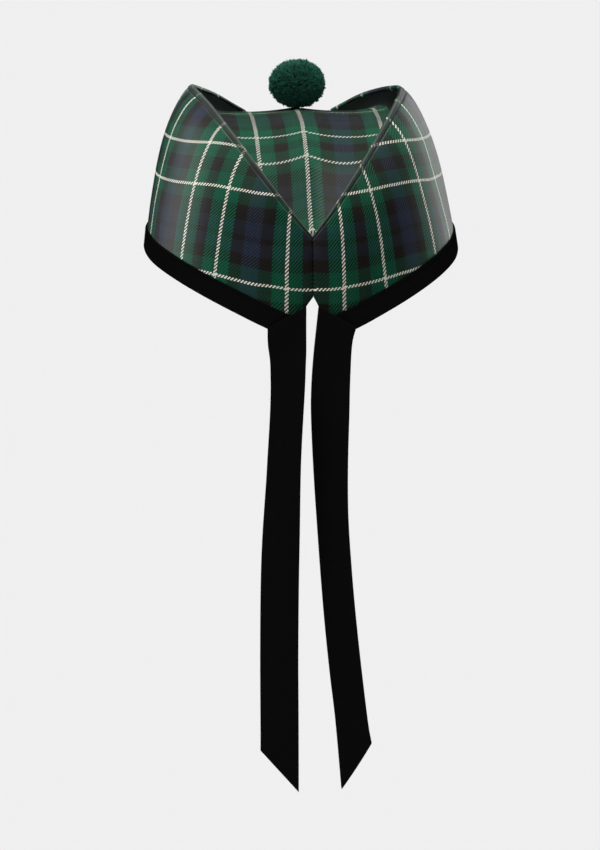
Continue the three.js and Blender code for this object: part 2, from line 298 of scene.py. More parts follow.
def tartanCloth(name, cream):
    material, tree, shader = newMaterial(name)
    colours = {**tartan["colours"], "cream": cream}
    uv, across, along = readMap(tree)
    waves = calc(tree, "SUBTRACT", noise(tree, uv, tartan["strayScale"]), 0.5)
    stray = calc(tree, "MULTIPLY", waves, tartan["stray"])
    ends = calc(tree, "DIVIDE", calc(tree, "ADD", across, stray), tartan["warpThread"])
    picks = calc(tree, "DIVIDE", calc(tree, "ADD", along, stray), tartan["weftThread"])
    end = calc(tree, "FLOOR", ends)
    pick = calc(tree, "FLOOR", picks)

    # two over, two under, one step on in each row
    warpStart = calc(tree, "ADD", calc(tree, "SUBTRACT", end, picks), 1)
    weftStart = calc(tree, "ADD", calc(tree, "SUBTRACT", ends, pick), 2)
    step = calc(tree, "FLOORED_MODULO", calc(tree, "SUBTRACT", end, pick), 4)
    warpUp = calc(tree, "LESS_THAN", step, 1.5)
    onlyCream = {colour: (float(colour == "cream"),) * 3 for colour in colours}
    creamEnd = chartColours(tree, end, tartan["warp"], onlyCream)
    creamPick = chartColours(tree, pick, tartan["weft"], onlyCream)
    overPick = calc(tree, "MULTIPLY", creamEnd, longFloat(tree, warpStart))
    overEnd = calc(tree, "MULTIPLY", creamPick, longFloat(tree, weftStart))
    overEnd = calc(tree, "MULTIPLY", overEnd, calc(tree, "SUBTRACT", 1, creamEnd))
    warpUp = calc(tree, "MAXIMUM", warpUp, overPick)
    warpUp = calc(tree, "MULTIPLY", warpUp, calc(tree, "SUBTRACT", 1, overEnd))
    weftColour = chartColours(tree, pick, tartan["weft"], colours)
    warpColour = chartColours(tree, end, tartan["warp"], colours)
    colour = blendColours(tree, warpUp, weftColour, warpColour)

    # a slightly different dye on each thread, loose fibres, and broad wear
    thread = tree.nodes.new("ShaderNodeTexWhiteNoise")
    thread.noise_dimensions = "1D"
    warpPart = calc(tree, "MULTIPLY", warpUp, end)   # the weft counts from 0.37, so that it draws other dyes
    weftPart = calc(tree, "MULTIPLY", calc(tree, "SUBTRACT", 1, warpUp), calc(tree, "ADD", pick, 0.37))
    tree.links.new(calc(tree, "ADD", warpPart, weftPart), thread.inputs["W"])
    fibres = noise(tree, uv, tartan["fibreScale"], 4)
    worn = calc(tree, "SUBTRACT", noise(tree, uv, tartan["wornScale"], 3), 0.5)
    dyed = calc(tree, "MULTIPLY", thread.outputs["Value"], tartan["dyeBright"])
    bright = calc(tree, "ADD", dyed, tartan["plainBright"])
    bright = calc(tree, "ADD", bright, calc(tree, "MULTIPLY", fibres, tartan["fibreBright"]))
    catch = calc(tree, "MULTIPLY", warpUp, tartan["warpBright"] - tartan["weftBright"])
    catch = calc(tree, "ADD", catch, tartan["weftBright"])
    creamUp = calc(tree, "MAXIMUM", overPick, overEnd)
    catch = calc(tree, "MAXIMUM", calc(tree, "MULTIPLY", catch, calc(tree, "SUBTRACT", 1, creamUp)), creamUp)
    bright = calc(tree, "MULTIPLY", bright, catch)
    bright = calc(tree, "ADD", bright, calc(tree, "MULTIPLY", worn, tartan["worn"]))
    colour = blendColours(tree, 1.0, colour, bright, "MULTIPLY")

    # each float of thread is a small pad: round across, and sinking at its two ends
    warpRun = calc(tree, "DIVIDE", calc(tree, "FLOORED_MODULO", warpStart, 4), 2)
    weftRun = calc(tree, "DIVIDE", calc(tree, "FLOORED_MODULO", weftStart, 4), 2)
    warpRound = roundThread(tree, calc(tree, "FRACT", ends))
    weftRound = roundThread(tree, calc(tree, "FRACT", picks))
    warpPad = calc(tree, "MULTIPLY", warpRound, roundThread(tree, warpRun))
    weftPad = calc(tree, "MULTIPLY", weftRound, roundThread(tree, weftRun))
    pad = tree.nodes.new("ShaderNodeMix")
    tree.links.new(warpUp, pad.inputs[0])
    tree.links.new(weftPad, pad.inputs[2])
    tree.links.new(warpPad, pad.inputs[3])
    # painted shade in the hollows between the pads
    padBright = calc(tree, "MULTIPLY", pad.outputs[0], tartan["padBright"])
    padBright = calc(tree, "ADD", tartan["hollowBright"], padBright)
    colour = blendColours(tree, 1.0, colour, padBright, "MULTIPLY")

    # the welt paint darkens the welt, and lays painted shade on the crown's flanks and front
    weltShare = calc(tree, "MULTIPLY", readPaint(tree, "welt"), tartan["weltShade"])
    colour = blendColours(tree, weltShare, colour, (*tartan["weltColour"], 1))
    # painted sheen, and wear at the folds, mix the cloth towards a light grey
    sheenAndWearShare = calc(tree, "MULTIPLY", readPaint(tree, "paintedSheenAndWear"), calc(tree, "ADD", fibres, tartan["sheenAndWearPatch"]))
    colour = blendColours(tree, sheenAndWearShare, colour, (*tartan["sheenAndWear"], 1))
    tree.links.new(colour, shader.inputs["Base Color"])
    height = calc(tree, "ADD", pad.outputs[0], calc(tree, "MULTIPLY", fibres, tartan["fibreBump"]))
    addBump(tree, shader, height, tartan["bump"], tartan["bumpDepth"])
    giveFinish(shader, tartan["finish"])
    return material


# Black grosgrain ribbon, ribbed across its width

ribbon = {
    "width": 22.5,
    "thick": 1.0,
    "ribPitch": 0.85,
    "colour": (0.0026, 0.0026, 0.0027),
    "ribColour": (0.0115, 0.0115, 0.0118),
    "roughness": 0.82,
    "worn": 0.16,             # rougher in patches by up to this
    "wornScale": 0.08,
    "finish": {"Specular IOR Level": 0.02},
    "bump": 0.5,
    "ribDepth": 0.16,
    "fibreBump": 0.4,
    "fibreScale": 3.0,
}


def ribbonCloth(name):
    material, tree, shader = newMaterial(name)
    uv, across, along = readMap(tree)
    ribs = calc(tree, "SINE", calc(tree, "MULTIPLY", along, 2 * math.pi / ribbon["ribPitch"]))
    ribs = calc(tree, "ADD", calc(tree, "MULTIPLY", ribs, 0.5), 0.5)
    fibres = noise(tree, uv, ribbon["fibreScale"], 3)
    share = calc(tree, "MULTIPLY", ribs, fibres)
    first = (*ribbon["colour"], 1)
    second = (*ribbon["ribColour"], 1)
    tree.links.new(blendColours(tree, share, first, second), shader.inputs["Base Color"])
    worn = calc(tree, "MULTIPLY", noise(tree, uv, ribbon["wornScale"]), ribbon["worn"])
    tree.links.new(calc(tree, "ADD", worn, ribbon["roughness"]), shader.inputs["Roughness"])
    height = calc(tree, "ADD", ribs, calc(tree, "MULTIPLY", fibres, ribbon["fibreBump"]))
    addBump(tree, shader, height, ribbon["bump"], ribbon["ribDepth"])
    giveFinish(shader, ribbon["finish"])
    return material


# Green pompom yarn, with painted shade: darker towards the roots and on the core

yarn = {
    # the root colour is painted shade between the tufts; the tip colour is the yarn's own green
    "root": (0.0025, 0.012, 0.008),
    "tip": (0.026, 0.175, 0.119),
    "rootFade": 1.6,          # the higher, the further up the painted shade of the roots reaches
    "plainBright": 0.6,
    "dyeBright": 0.8,
    "finish": {
        "Roughness": 0.9, "Specular IOR Level": 0.2,
        "Sheen Weight": 0.35, "Sheen Roughness": 0.5, "Sheen Tint": (0.45, 0.85, 0.65, 1),
    },
    "bump": 0.5,
    "bumpDepth": 0.15,
    "fibreScale": 2500,
}


def pompomYarn(name):
    material, tree, shader = newMaterial(name)
    share = calc(tree, "POWER", readPaint(tree, "tip"), yarn["rootFade"])
    colour = blendColours(tree, share, (*yarn["root"], 1), (*yarn["tip"], 1))
    dyed = calc(tree, "MULTIPLY", readPaint(tree, "dye"), yarn["dyeBright"])
    bright = calc(tree, "ADD", yarn["plainBright"], dyed)
    tree.links.new(blendColours(tree, 1.0, colour, bright, "MULTIPLY"), shader.inputs["Base Color"])
    coords = tree.nodes.new("ShaderNodeTexCoord")
    fibres = noise(tree, coords.outputs["Object"], yarn["fibreScale"], 3)
    addBump(tree, shader, fibres, yarn["bump"], yarn["bumpDepth"])
    giveFinish(shader, yarn["finish"])
    return material


sideTartan = tartanCloth("sideTartan", tartan["sideCream"])
# a shaded copy of the side tartan, its cream painted darker
shadedCrownTartan = tartanCloth("shadedCrownTartan", tartan["shadedCrownCream"])
ribbonMaterial = ribbonCloth("blackGrosgrain")
yarnMaterial = pompomYarn("greenYarn")
print("materials ready")


# Mesh helpers: strips of cloth are rings of points, one face out and the other back

def buildMesh(name, points, faces, uv, material):
    mesh = bpy.data.meshes.new(name)
    mesh.vertices.add(len(points))
    mesh.vertices.foreach_set("co", (np.asarray(points, float) * mm).ravel())
    faces = np.asarray(faces, np.int32)
    size = faces.shape[1]
    mesh.loops.add(faces.size)
    mesh.loops.foreach_set("vertex_index", faces.ravel())
    mesh.polygons.add(len(faces))
    mesh.polygons.foreach_set("loop_start", np.arange(0, faces.size, size, dtype=np.int32))
    mesh.update(calc_edges=True)
    mesh.validate()
    if uv is not None:
        layer = mesh.uv_layers.new(name="weave")
        layer.data.foreach_set("uv", np.asarray(uv, np.float32)[faces.ravel()].ravel())
    mesh.polygons.foreach_set("use_smooth", np.ones(len(mesh.polygons), bool))
    mesh.materials.append(material)
    obj = bpy.data.objects.new(name, mesh)
    bpy.context.collection.objects.link(obj)
    return obj


def ringFaces(stations, count):
    i, j = np.meshgrid(np.arange(stations - 1), np.arange(count), indexing="ij")
    k = (j + 1) % count
    here = i * count
    sides = np.stack([here + j, here + k, here + count + k, here + count + j], -1).reshape(-1, 4)
    a = np.arange(count // 2 - 1)
    b = count - 1 - a
    first = np.stack([a, b, b - 1, a + 1], -1)
    end = (stations - 1) * count
    last = np.stack([end + a, end + a + 1, end + b - 1, end + b], -1)
    return np.concatenate([sides, first, last])


def outwardFaces(points, faces):
    p = points[faces]
    volume = np.einsum("ij,ij->i", p[:, 0], np.cross(p[:, 1], p[:, 2])).sum()
    volume += np.einsum("ij,ij->i", p[:, 0], np.cross(p[:, 2], p[:, 3])).sum()
    return faces[:, ::-1] if volume < 0 else faces


def clothStrip(name, rings, uv, material):
    stations, count = rings.shape[:2]
    points = rings.reshape(-1, 3)
    faces = outwardFaces(points, ringFaces(stations, count))
    return buildMesh(name, points, faces, uv.reshape(-1, 2), material)


def paint(piece, label, values):
    layer = piece.data.attributes.new(label, "FLOAT", "POINT")
    layer.data.foreach_set("value", np.asarray(values, np.float32).ravel())


def placePiece(piece, slot, *nodes):
    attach(piece, "root")
    if nodes:
        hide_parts(*nodes)


# Smooth curve through the rows of a table

def smoothCurve(xs, ys, x):
    xs = np.asarray(xs, float)
    ys = np.asarray(ys, float)
    step = np.diff(xs)
    rise = np.diff(ys) / step
    inner = (rise[:-1] * step[1:] + rise[1:] * step[:-1]) / (step[1:] + step[:-1])
    slope = np.concatenate([rise[:1], inner, rise[-1:]])
    i = np.clip(np.searchsorted(xs, x) - 1, 0, len(xs) - 2)
    t = (x - xs[i]) / step[i]
    stay = (2 * t**3 - 3 * t**2 + 1) * ys[i] + (3 * t**2 - 2 * t**3) * ys[i + 1]
    return stay + (t**3 - 2 * t**2 + t) * step[i] * slope[i] + (t**3 - t**2) * step[i] * slope[i + 1]


def smoothStep(low, high, x):
    t = np.clip((x - low) / (high - low), 0, 1)
    return t * t * (3 - 2 * t)


def ridge(x, place, width):
    return np.exp(-(((x - place) / width) ** 2))


# The cap's form, shared by the walls, crown and band

form = {
    "wallThick": 2.4,
    "crownThick": 1.6,
    "seatGap": 0.3,
    "rimHalf": (92.4, 102.2),     # half width and half length of the rim
    "edgeHalf": (61.6, 101),      # and of the walls' top edge
    "edgeSway": 2.2,              # the top edge leans to the left by this
    "edgeTilt": 1.0,              # and stands higher there, lower on the right, about this turn
    "tiltAt": (95, 45),
    "edgeForward": 9,
    "shoulder": 0.86,
    "turn": [0, 15, 30, 45, 60, 75, 90, 105, 120, 135, 150, 165, 180],  # from the back seam to the front
    "rimZ": [-39.6, -30.6, -20.9, -12.8, -6.7, -2.8, 0, 0, 0, 0, 0, 0, 0],
    "edgeZ": [23, 44, 64, 80.6, 92, 96.4, 96, 92.3, 87, 80, 70.3, 60.3, 50],
    "bulge": [6, 8.5, 10.6, 12.5, 14, 15.3, 16.3, 15.3, 14, 12.5, 10.6, 8.5, 6],
    "sag": [0.5, 2, 4, 5.5, 4.6, 3.3, 2.6, 2.5, 3, 3.5, 3, 2, 0.5],
    "creaseY": [-92, -74, -51, -28, 20, 45, 78, 110],
    "creaseZ": [23, 40.6, 64, 73.8, 78.6, 76.8, 66, 48],
    "turnStep": 0.5,              # over which slopes round and up the walls are measured
    "riseStep": 0.01,
    "rimPoints": 1441,            # on lines that are measured along
    "creasePoints": 2000,
}


def sectionValue(column, turn):
    return smoothCurve(form["turn"], form[column], turn)


def bezier(first, control, last, t):
    return (1 - t) ** 2 * first + 2 * t * (1 - t) * control + t * t * last


def wallPoint(turn, rise, side):
    # outer face of a wall, its x measured outwards from the middle of the cap
    angle = np.radians(turn)
    out = np.stack([np.sin(angle), -np.cos(angle), 0 * angle], -1)
    rimZ = sectionValue("rimZ", turn) + form["seatGap"] + ribbon["thick"]
    rim = np.stack([form["rimHalf"][0] * out[..., 0], form["rimHalf"][1] * out[..., 1], rimZ], -1)
    edgeX = (form["edgeHalf"][0] - side * form["edgeSway"]) * out[..., 0]
    edgeY = form["edgeForward"] + form["edgeHalf"][1] * out[..., 1]
    edgeZ = sectionValue("edgeZ", turn) - side * form["edgeTilt"] * ridge(turn, *form["tiltAt"])
    edge = np.stack([edgeX, edgeY, edgeZ], -1)
    control = rim + (edge - rim) * form["shoulder"] + out * sectionValue("bulge", turn)[..., None]
    return bezier(rim, control, edge, rise[..., None])


def unit(v):
    return v / np.linalg.norm(v, axis=-1, keepdims=True)


def wallFrame(turn, rise, side):
    before = wallPoint(np.maximum(turn - form["turnStep"], 0), rise, side)
    after = wallPoint(np.minimum(turn + form["turnStep"], 180), rise, side)
    lower = wallPoint(turn, np.maximum(rise - form["riseStep"], 0), side)
    upper = wallPoint(turn, np.minimum(rise + form["riseStep"], 1), side)
    up = unit(upper - lower)
    return wallPoint(turn, rise, side), unit(np.cross(after - before, up)), up


def runLength(points, axis):
    steps = np.linalg.norm(np.diff(points, axis=axis), axis=-1)
    start = np.zeros_like(np.take(steps, [0], axis=axis))
    return np.concatenate([start, np.cumsum(steps, axis=axis)], axis=axis)


def rimLength(turn):
    fine = np.linspace(0, 180, form["rimPoints"])
    angle = np.radians(fine)
    points = np.stack([form["rimHalf"][0] * np.sin(angle), -form["rimHalf"][1] * np.cos(angle)], -1)
    return np.interp(turn, fine, runLength(points, 0))


# Walls: two tall tartan sides with a stitched welt along the top edge

walls = {
    "stations": 190,
    "gather": 0.45,           # how much closer the stations are at the two seams
    "rows": 62,               # up the wall, then finer ones at the welt
    "weltRows": 30,
    "weltStarts": 0.925,
    "weltEnds": 0.985,
    "weltWidth": 2.7,
    "weltNarrow": 0.4,        # share of its width left at the back seam
    "weltFull": 16,           # degrees from the seam to its full width
    "weltProud": 0.3,
    "weltRise": (0.2, -0.5),  # where it rises from the wall, measured down from its lower side
    "grooveDepth": 0.5,
    "grooveWidth": 0.42,
    "capSteps": 8,
    "capRound": 0.55,         # height of the rounded top against the wall's thickness
    "capWeave": 0.8,          # how much of the rounding the weave follows
    "splitHalf": {-1: 4.6, 1: 3.4},   # split at the foot of the back seam, left and right of it
    "splitNarrows": 0.2,
    "splitEnds": 0.302,
    "seamClear": 0.03,
    "seamDip": 0.7,           # cloth turning in at the seams, less on the inside
    "seamDipInside": 0.3,
    "seamReach": 1.3,
    "wave": 0.35,             # slight unevenness of the cloth, but not at its edges
    "waveAround": (5.1, 2.3),
    "waveUp": (3, 7.3),
    "waveFoot": (0.13, 0.3),
    "waveTop": (1.0, 0.85),
    "waveSeam": (0, 12),
    "sheenAndWear": 0.05,           # painted sheen on the upper wall, away from the back seam
    "upperSheenAt": (0.4, 0.75),
    "upperSheenFrom": (25, 50),
    "foldSheenAndWear": 0.25,          # wear and painted highlight on the top edge and on the groove's lower side
    "foldSheenAndWearWidth": 0.3,
    "grooveSheenAndWearAt": 0.6,
    "capSheenAndWear": (0.3, 0.5),     # its middle and width round the top edge
    "capWelt": 1.2,           # how far round the top edge the welt's colour reaches
    "weltFade": 0.3,
    "firstCream": {-1: 16, 1: 18.6},   # first cream line out from the back seam, left and right
    "seamTurn": 1.5,          # cloth turned in at the seam, in one colour
    "creamHeight": -3.4,      # cream line lowest on the wall, measured up from the ear level
    "straightReach": 45,      # within this of the back seam the warp runs parallel to it
    "leanAt": [0, 18, 48, 63, 93, 122, 160, 320],   # the warp leans back towards the seam, left and right
    "leanTop": {-1: [0, 2.5, 6, 8, 13, 18, 16, 0], 1: [0, 1, 5, 7, 9, 9, 5, 0]},
    "leanMiddle": {-1: [0, 0, 0, 0, 0, 0, 0, 0], 1: [0, 0, 0, 0.5, 1.5, 8, 12, 12]},
    "leanMiddleAt": (0.05, 0.4),
    "dropAt": [0, 15, 36, 75, 110, 150, 320],   # weft lines hang lower at the back seam
    "drop": [2.6, 2.8, 0.3, -3.8, -1.8, 0, 0],
    "crowdedAt": [0, 20, 45, 70, 100, 320],     # and lie closer together away from it
    "crowded": [-0.036, -0.036, -0.006, 0.022, 0.045, 0.045],
}


def weltWidth(turn):
    return walls["weltWidth"] * (1 - (1 - walls["weltNarrow"]) * smoothStep(walls["weltFull"], 0, turn))


def splitHalf(rise, side):
    apart = np.clip((walls["splitEnds"] - rise) / (walls["splitEnds"] - walls["splitNarrows"]), 0, 1)
    return walls["seamClear"] + (walls["splitHalf"][side] - walls["seamClear"]) * apart


def splitTurn(rise, side):
    return np.degrees(np.arcsin(splitHalf(rise, side) / form["rimHalf"][0]))


def wallRises():
    low = np.linspace(0, walls["weltStarts"], walls["rows"], endpoint=False)
    return np.concatenate([low, np.linspace(walls["weltStarts"], walls["weltEnds"], walls["weltRows"])])


def warpPlace(side, distance):
    # pattern place across, rightwards as seen from outside, with the second cream line next to the back seam
    thread = tartan["warpThread"]
    secondCream = threadCount(tartan["warp"][:6]) + tartan["warp"][6][1] / 2
    return side * (distance - walls["firstCream"][side]) + secondCream * thread


def footHeight(point, length):
    # how far the foot of each station lies above the ear level, along the wall
    offsets = [-np.interp(0, z, run) if z[0] < 0 else z[0] for z, run in zip(point[..., 2], length)]
    return np.array(offsets)[:, None]


def wall(name, side):
    rises = wallRises()
    share = np.linspace(0, 1, walls["stations"])
    share = share + walls["gather"] * (smoothStep(0, 1, share) - share)
    rise = np.broadcast_to(rises, (len(share), len(rises)))
    start = splitTurn(rise, side)
    turn = start + (180 - start) * share[:, None]
    point, normal, up = wallFrame(turn, rise, side)
    length = runLength(point, 1)
    below = length[:, -1:] - length
    seamGap = np.minimum(rimLength(turn) - rimLength(start), rimLength(180.0) - rimLength(turn))

    belowWelt = below - weltWidth(turn)
    proud = walls["weltProud"] * smoothStep(*walls["weltRise"], belowWelt)
    proud = proud - walls["grooveDepth"] * ridge(belowWelt, 0, walls["grooveWidth"])
    firstWave, secondWave = [
        np.sin(np.radians(turn * waves) + rise * upwards + shift)
        for waves, upwards, shift in zip(walls["waveAround"], walls["waveUp"], (0, side))
    ]
    calm = smoothStep(*walls["waveFoot"], rise) * smoothStep(*walls["waveTop"], rise)
    calm = calm * smoothStep(*walls["waveSeam"], seamGap)
    wave = walls["wave"] * firstWave * secondWave * calm
    dip = walls["seamDip"] * np.exp(-seamGap / walls["seamReach"])
    outer = point + normal * (proud + wave - dip)[..., None]
    inner = point - normal * (form["wallThick"] - wave - walls["seamDipInside"] * dip)[..., None]

    # rounded top between the two faces
    angle = np.linspace(0, math.pi, walls["capSteps"] + 2)[1:-1]
    middle = (outer[:, -1] + inner[:, -1]) / 2
    half = (outer[:, -1] - inner[:, -1]) / 2
    rounding = walls["capRound"] * form["wallThick"]
    cap = middle[:, None] + half[:, None] * np.cos(angle)[None, :, None]
    cap = cap + up[:, -1][:, None] * (np.sin(angle) * rounding)[None, :, None]

    # both walls meet at the seams, and part at the split
    rings = np.concatenate([outer, cap, inner[:, ::-1]], 1)
    capRise = np.full((len(share), len(angle)), walls["weltEnds"])
    ringRise = np.concatenate([rise, capRise, rise[:, ::-1]], 1)
    gap = np.concatenate([seamGap, np.repeat(seamGap[:, -1:], len(angle), 1), seamGap[:, ::-1]], 1)
    backShift = splitHalf(ringRise[:1], side) - rings[:1, :, 0]
    frontShift = walls["seamClear"] - rings[-1:, :, 0]
    pull = np.where(share[:, None] < 0.5, backShift, frontShift)
    rings[..., 0] = np.maximum(rings[..., 0] + pull * np.exp(-gap / walls["seamReach"]), walls["seamClear"])
    rings[..., 0] *= side

    # weave: the warp keeps its turn round the cap, or its distance from the seam close to it
    around = rimLength(turn)
    fromSeam = rimLength(start) + runLength(point[..., :2], 0)
    near = ridge(around, 0, walls["straightReach"])
    leanTop = smoothCurve(walls["leanAt"], walls["leanTop"][side], around)
    leanMiddle = smoothCurve(walls["leanAt"], walls["leanMiddle"][side], around)
    lean = leanTop * rise**2 + leanMiddle * smoothStep(*walls["leanMiddleAt"], rise)
    distance = near * fromSeam + (1 - near) * around + lean
    across = warpPlace(side, np.maximum(distance, walls["seamTurn"]))
    high = length + footHeight(point, length)
    high = high * (1 + smoothCurve(walls["crowdedAt"], walls["crowded"], around))
    high = high + smoothCurve(walls["dropAt"], walls["drop"], around)
    high = high - walls["creamHeight"] + tartan["weft"][0][1] * tartan["weftThread"] / 2
    capHigh = high[:, -1:] + np.minimum(angle, math.pi - angle)[None] * rounding * walls["capWeave"]
    capAcross = np.broadcast_to(across[:, -1:], capHigh.shape)
    uv = np.stack([
        np.concatenate([across, capAcross, across[:, ::-1]], 1),
        np.concatenate([high, capHigh, high[:, ::-1]], 1),
    ], -1)
    piece = clothStrip(name, rings, uv, sideTartan)

    # the welt is painted darker; its fold and the groove's lower side get wear and painted highlight, the
    # upper wall painted sheen
    folds = ridge(below, 0, walls["foldSheenAndWearWidth"])
    folds = folds + ridge(belowWelt, walls["grooveSheenAndWearAt"], walls["foldSheenAndWearWidth"])
    # painted sheen on the upper wall, held away from the back seam
    upperSheen = smoothStep(*walls["upperSheenAt"], rise) * smoothStep(*walls["upperSheenFrom"], around)
    paintedSheenAndWear = walls["foldSheenAndWear"] * folds + walls["sheenAndWear"] * upperSheen
    capSheenAndWear = np.broadcast_to(walls["foldSheenAndWear"] * ridge(angle, *walls["capSheenAndWear"]), capHigh.shape)
    paint(piece, "paintedSheenAndWear", np.concatenate([paintedSheenAndWear, capSheenAndWear, 0 * paintedSheenAndWear], 1))
    welt = smoothStep(walls["weltFade"], 0, belowWelt)
    capWelt = np.broadcast_to(ridge(angle, 0, walls["capWelt"]), capHigh.shape)
    paint(piece, "welt", np.concatenate([welt, capWelt, 0 * welt], 1))
    studio["lit"]["sides"].objects.link(piece)
    return piece


wallLeft = wall("wallLeft", -1)
wallRight = wall("wallRight", 1)
placePiece(wallLeft, "tartan", "side_left")
placePiece(wallRight, "tartan", "side_right")
print("walls made")


# Crown: the tartan top sunk between the walls, creased along the middle

top = {
    "firstTurn": 0.6,
    "lastTurn": 179.4,
    "stations": 190,
    "steps": 90,
    "shareStep": 0.02,        # over which slopes across are measured
    "tuck": 7,                # its two ends are tucked down behind the seams
    "tuckTurn": 7,
    "belowEdge": 0.985,
    "crowding": 2.2,          # points gather towards the flanks
    "steepness": 34,          # of the flanks that climb to the walls' edge
    "flankStarts": 0.945,     # share of the half width
    "flankShade": 1.6,         # painted shade on the flanks, as a share of the welt's colour
    "farShade": 0.4,           # painted shade, darker towards the front
    "farAlong": (85, 115),
    # painted sheen over the crown, away from its flanks
    "sheenAll": 0.055,
    "sheenAndWear": 0.09,           # more painted sheen on the right half, at the back
    "sheenAcross": (2, 6),
    "sheenAlong": (62, 48),
    "creasePlace": 2.4,       # stitched crease, a little right of the cream line
    "creaseDepth": 0.45,
    "creaseWidth": 0.5,
    "creamAcross": -0.5,      # cream lines, from the middle and from the back
    "creamAlong": 5,
}


def crownPoint(turn, share):
    below = np.full_like(turn, top["belowEdge"])
    point, normal, up = wallFrame(turn, below, np.sign(share))
    edge = point - normal * (form["wallThick"] + form["seatGap"] + form["crownThick"] / 2)
    ridgeZ = smoothCurve(form["creaseY"], form["creaseZ"], edge[..., 1])
    out = 1 - (1 - np.abs(share)) ** top["crowding"]
    hollow = 4 * sectionValue("sag", turn) * out * (1 - out)
    climb = (edge[..., 2] - ridgeZ) * out ** top["steepness"]
    ridgeZ = ridgeZ - top["tuck"] * smoothStep(top["tuckTurn"], 0, np.minimum(turn, 180 - turn))
    return np.stack([np.sign(share) * out * edge[..., 0], edge[..., 1], ridgeZ - hollow + climb], -1)


def crown(name):
    turns = np.linspace(top["firstTurn"], top["lastTurn"], top["stations"])
    shares = np.linspace(-1, 1, 2 * top["steps"] + 1)
    turn, share = np.meshgrid(turns, shares, indexing="ij")
    point = crownPoint(turn, share)
    step = top["shareStep"]
    rightwards = crownPoint(turn, np.minimum(share + step, 1))
    rightwards = rightwards - crownPoint(turn, np.maximum(share - step, -1))
    forwards = crownPoint(turn + form["turnStep"], share) - crownPoint(turn - form["turnStep"], share)
    normal = unit(np.cross(rightwards, forwards))
    across = runLength(point, 1)
    across = across - across[:, top["steps"]][:, None]

    fineY = np.linspace(form["creaseY"][0], form["creaseY"][-1], form["creasePoints"])
    fine = np.stack([fineY, smoothCurve(form["creaseY"], form["creaseZ"], fineY)], -1)
    along = np.interp(point[..., 1], fineY, runLength(fine, 0))

    sink = top["creaseDepth"] * ridge(across, top["creasePlace"], top["creaseWidth"])
    upper = point + normal * (form["crownThick"] / 2 - sink)[..., None]
    lower = point - normal * (form["crownThick"] / 2 + sink)[..., None]
    rings = np.concatenate([upper, lower[:, ::-1]], 1)

    half = tartan["warp"][0][1] * tartan["warpThread"] / 2
    u = across - top["creamAcross"] + half
    v = along - top["creamAlong"] + tartan["weft"][0][1] * tartan["weftThread"] / 2
    out = 1 - (1 - np.abs(share)) ** top["crowding"]
    onFlank = out > top["flankStarts"]
    u = np.where(onFlank, along, u)       # the weave of the flanks stands upright
    v = np.where(onFlank, point[..., 2], v)
    uv = np.stack([np.concatenate([u, u[:, ::-1]], 1), np.concatenate([v, v[:, ::-1]], 1)], -1)
    piece = clothStrip(name, rings, uv, shadedCrownTartan)
    # painted shade on the steep flanks and towards the front, carried in the welt paint
    paintedShade = np.where(onFlank, top["flankShade"], top["farShade"] * smoothStep(*top["farAlong"], along))
    paint(piece, "welt", np.concatenate([paintedShade, 0 * paintedShade], 1))
    # painted sheen: light over the whole crown, more on the right half at the back
    paintedSheenAndWear = top["sheenAndWear"] * smoothStep(*top["sheenAcross"], across) * smoothStep(*top["sheenAlong"], along)
    paintedSheenAndWear = np.where(onFlank, 0, paintedSheenAndWear + top["sheenAll"])
    paint(piece, "paintedSheenAndWear", np.concatenate([paintedSheenAndWear, 0 * paintedSheenAndWear], 1))
    return piece


crownTop = crown("crownTop")
placePiece(crownTop, "tartan", "crown")
studio["lit"]["crown"].objects.link(crownTop)
print("crown made")


# Band: ribbon folded over the rim, from one side of the split round to the other

band = {
    "stations": 420,
    "outerRows": 26,
    "innerRows": 10,
    "underSteps": 6,
    "seat": 0.12,             # just clear of the wall
    "selvedge": 1.5,          # stitched line below the upper edge
    "selvedgeDepth": 0.22,
    "selvedgeWidth": 0.3,
    "edgeThin": 0.35,         # its upper edge is thinner, and lies closer to the wall
    "edgeThinWidth": 0.5,
    "turnStep": 1,            # over which the rim's slope is measured
    "lowWall": 0.2,           # share of the wall's height that its length is measured over
}


def bandTop(turn, side):
    # how far up the wall the ribbon's edge lies, so that its width is measured square to the rim
    zero = np.zeros_like(turn)
    before = wallPoint(np.maximum(turn - band["turnStep"], 0), zero, side)
    after = wallPoint(np.minimum(turn + band["turnStep"], 180), zero, side)
    slope = np.arctan2(after[..., 2] - before[..., 2], np.hypot(*(after - before)[..., :2].T))
    low = np.full_like(turn, band["lowWall"])
    wallLength = np.linalg.norm(wallPoint(turn, low, side) - wallPoint(turn, zero, side), axis=-1) / low
    return ribbon["width"] / 2 / np.cos(slope) / wallLength


def bandFace(turn, side, offset, grooved):
    height = bandTop(turn, side)[:, None]
    outShare = np.linspace(1, 0, band["outerRows"])[None]
    inShare = np.linspace(0, 1, band["innerRows"])[None]
    point, normal, up = wallFrame(turn[:, None], height * outShare, side[:, None])
    fromEdge = (1 - outShare) * ribbon["width"] / 2
    lift = offset - grooved * band["selvedgeDepth"] * ridge(fromEdge, band["selvedge"], band["selvedgeWidth"])
    lift = lift - grooved * band["edgeThin"] * ridge(fromEdge, 0, band["edgeThinWidth"])
    outside = point + normal * lift[..., None]
    innerPoint, innerNormal, innerUp = wallFrame(turn[:, None], height * inShare, side[:, None])
    inside = innerPoint - innerNormal * (form["wallThick"] + offset)
    foot, footNormal, footUp = wallFrame(turn, np.zeros_like(turn), side)
    angle = np.linspace(0, math.pi, band["underSteps"] + 2)[1:-1]
    reach = form["wallThick"] / 2 + offset
    middle = foot - footNormal * form["wallThick"] / 2
    under = middle[:, None] + footNormal[:, None] * (reach * np.cos(angle))[None, :, None]
    under = under - footUp[:, None] * (offset * np.sin(angle) ** 0.5)[None, :, None]
    return np.concatenate([outside, under, inside], 1)


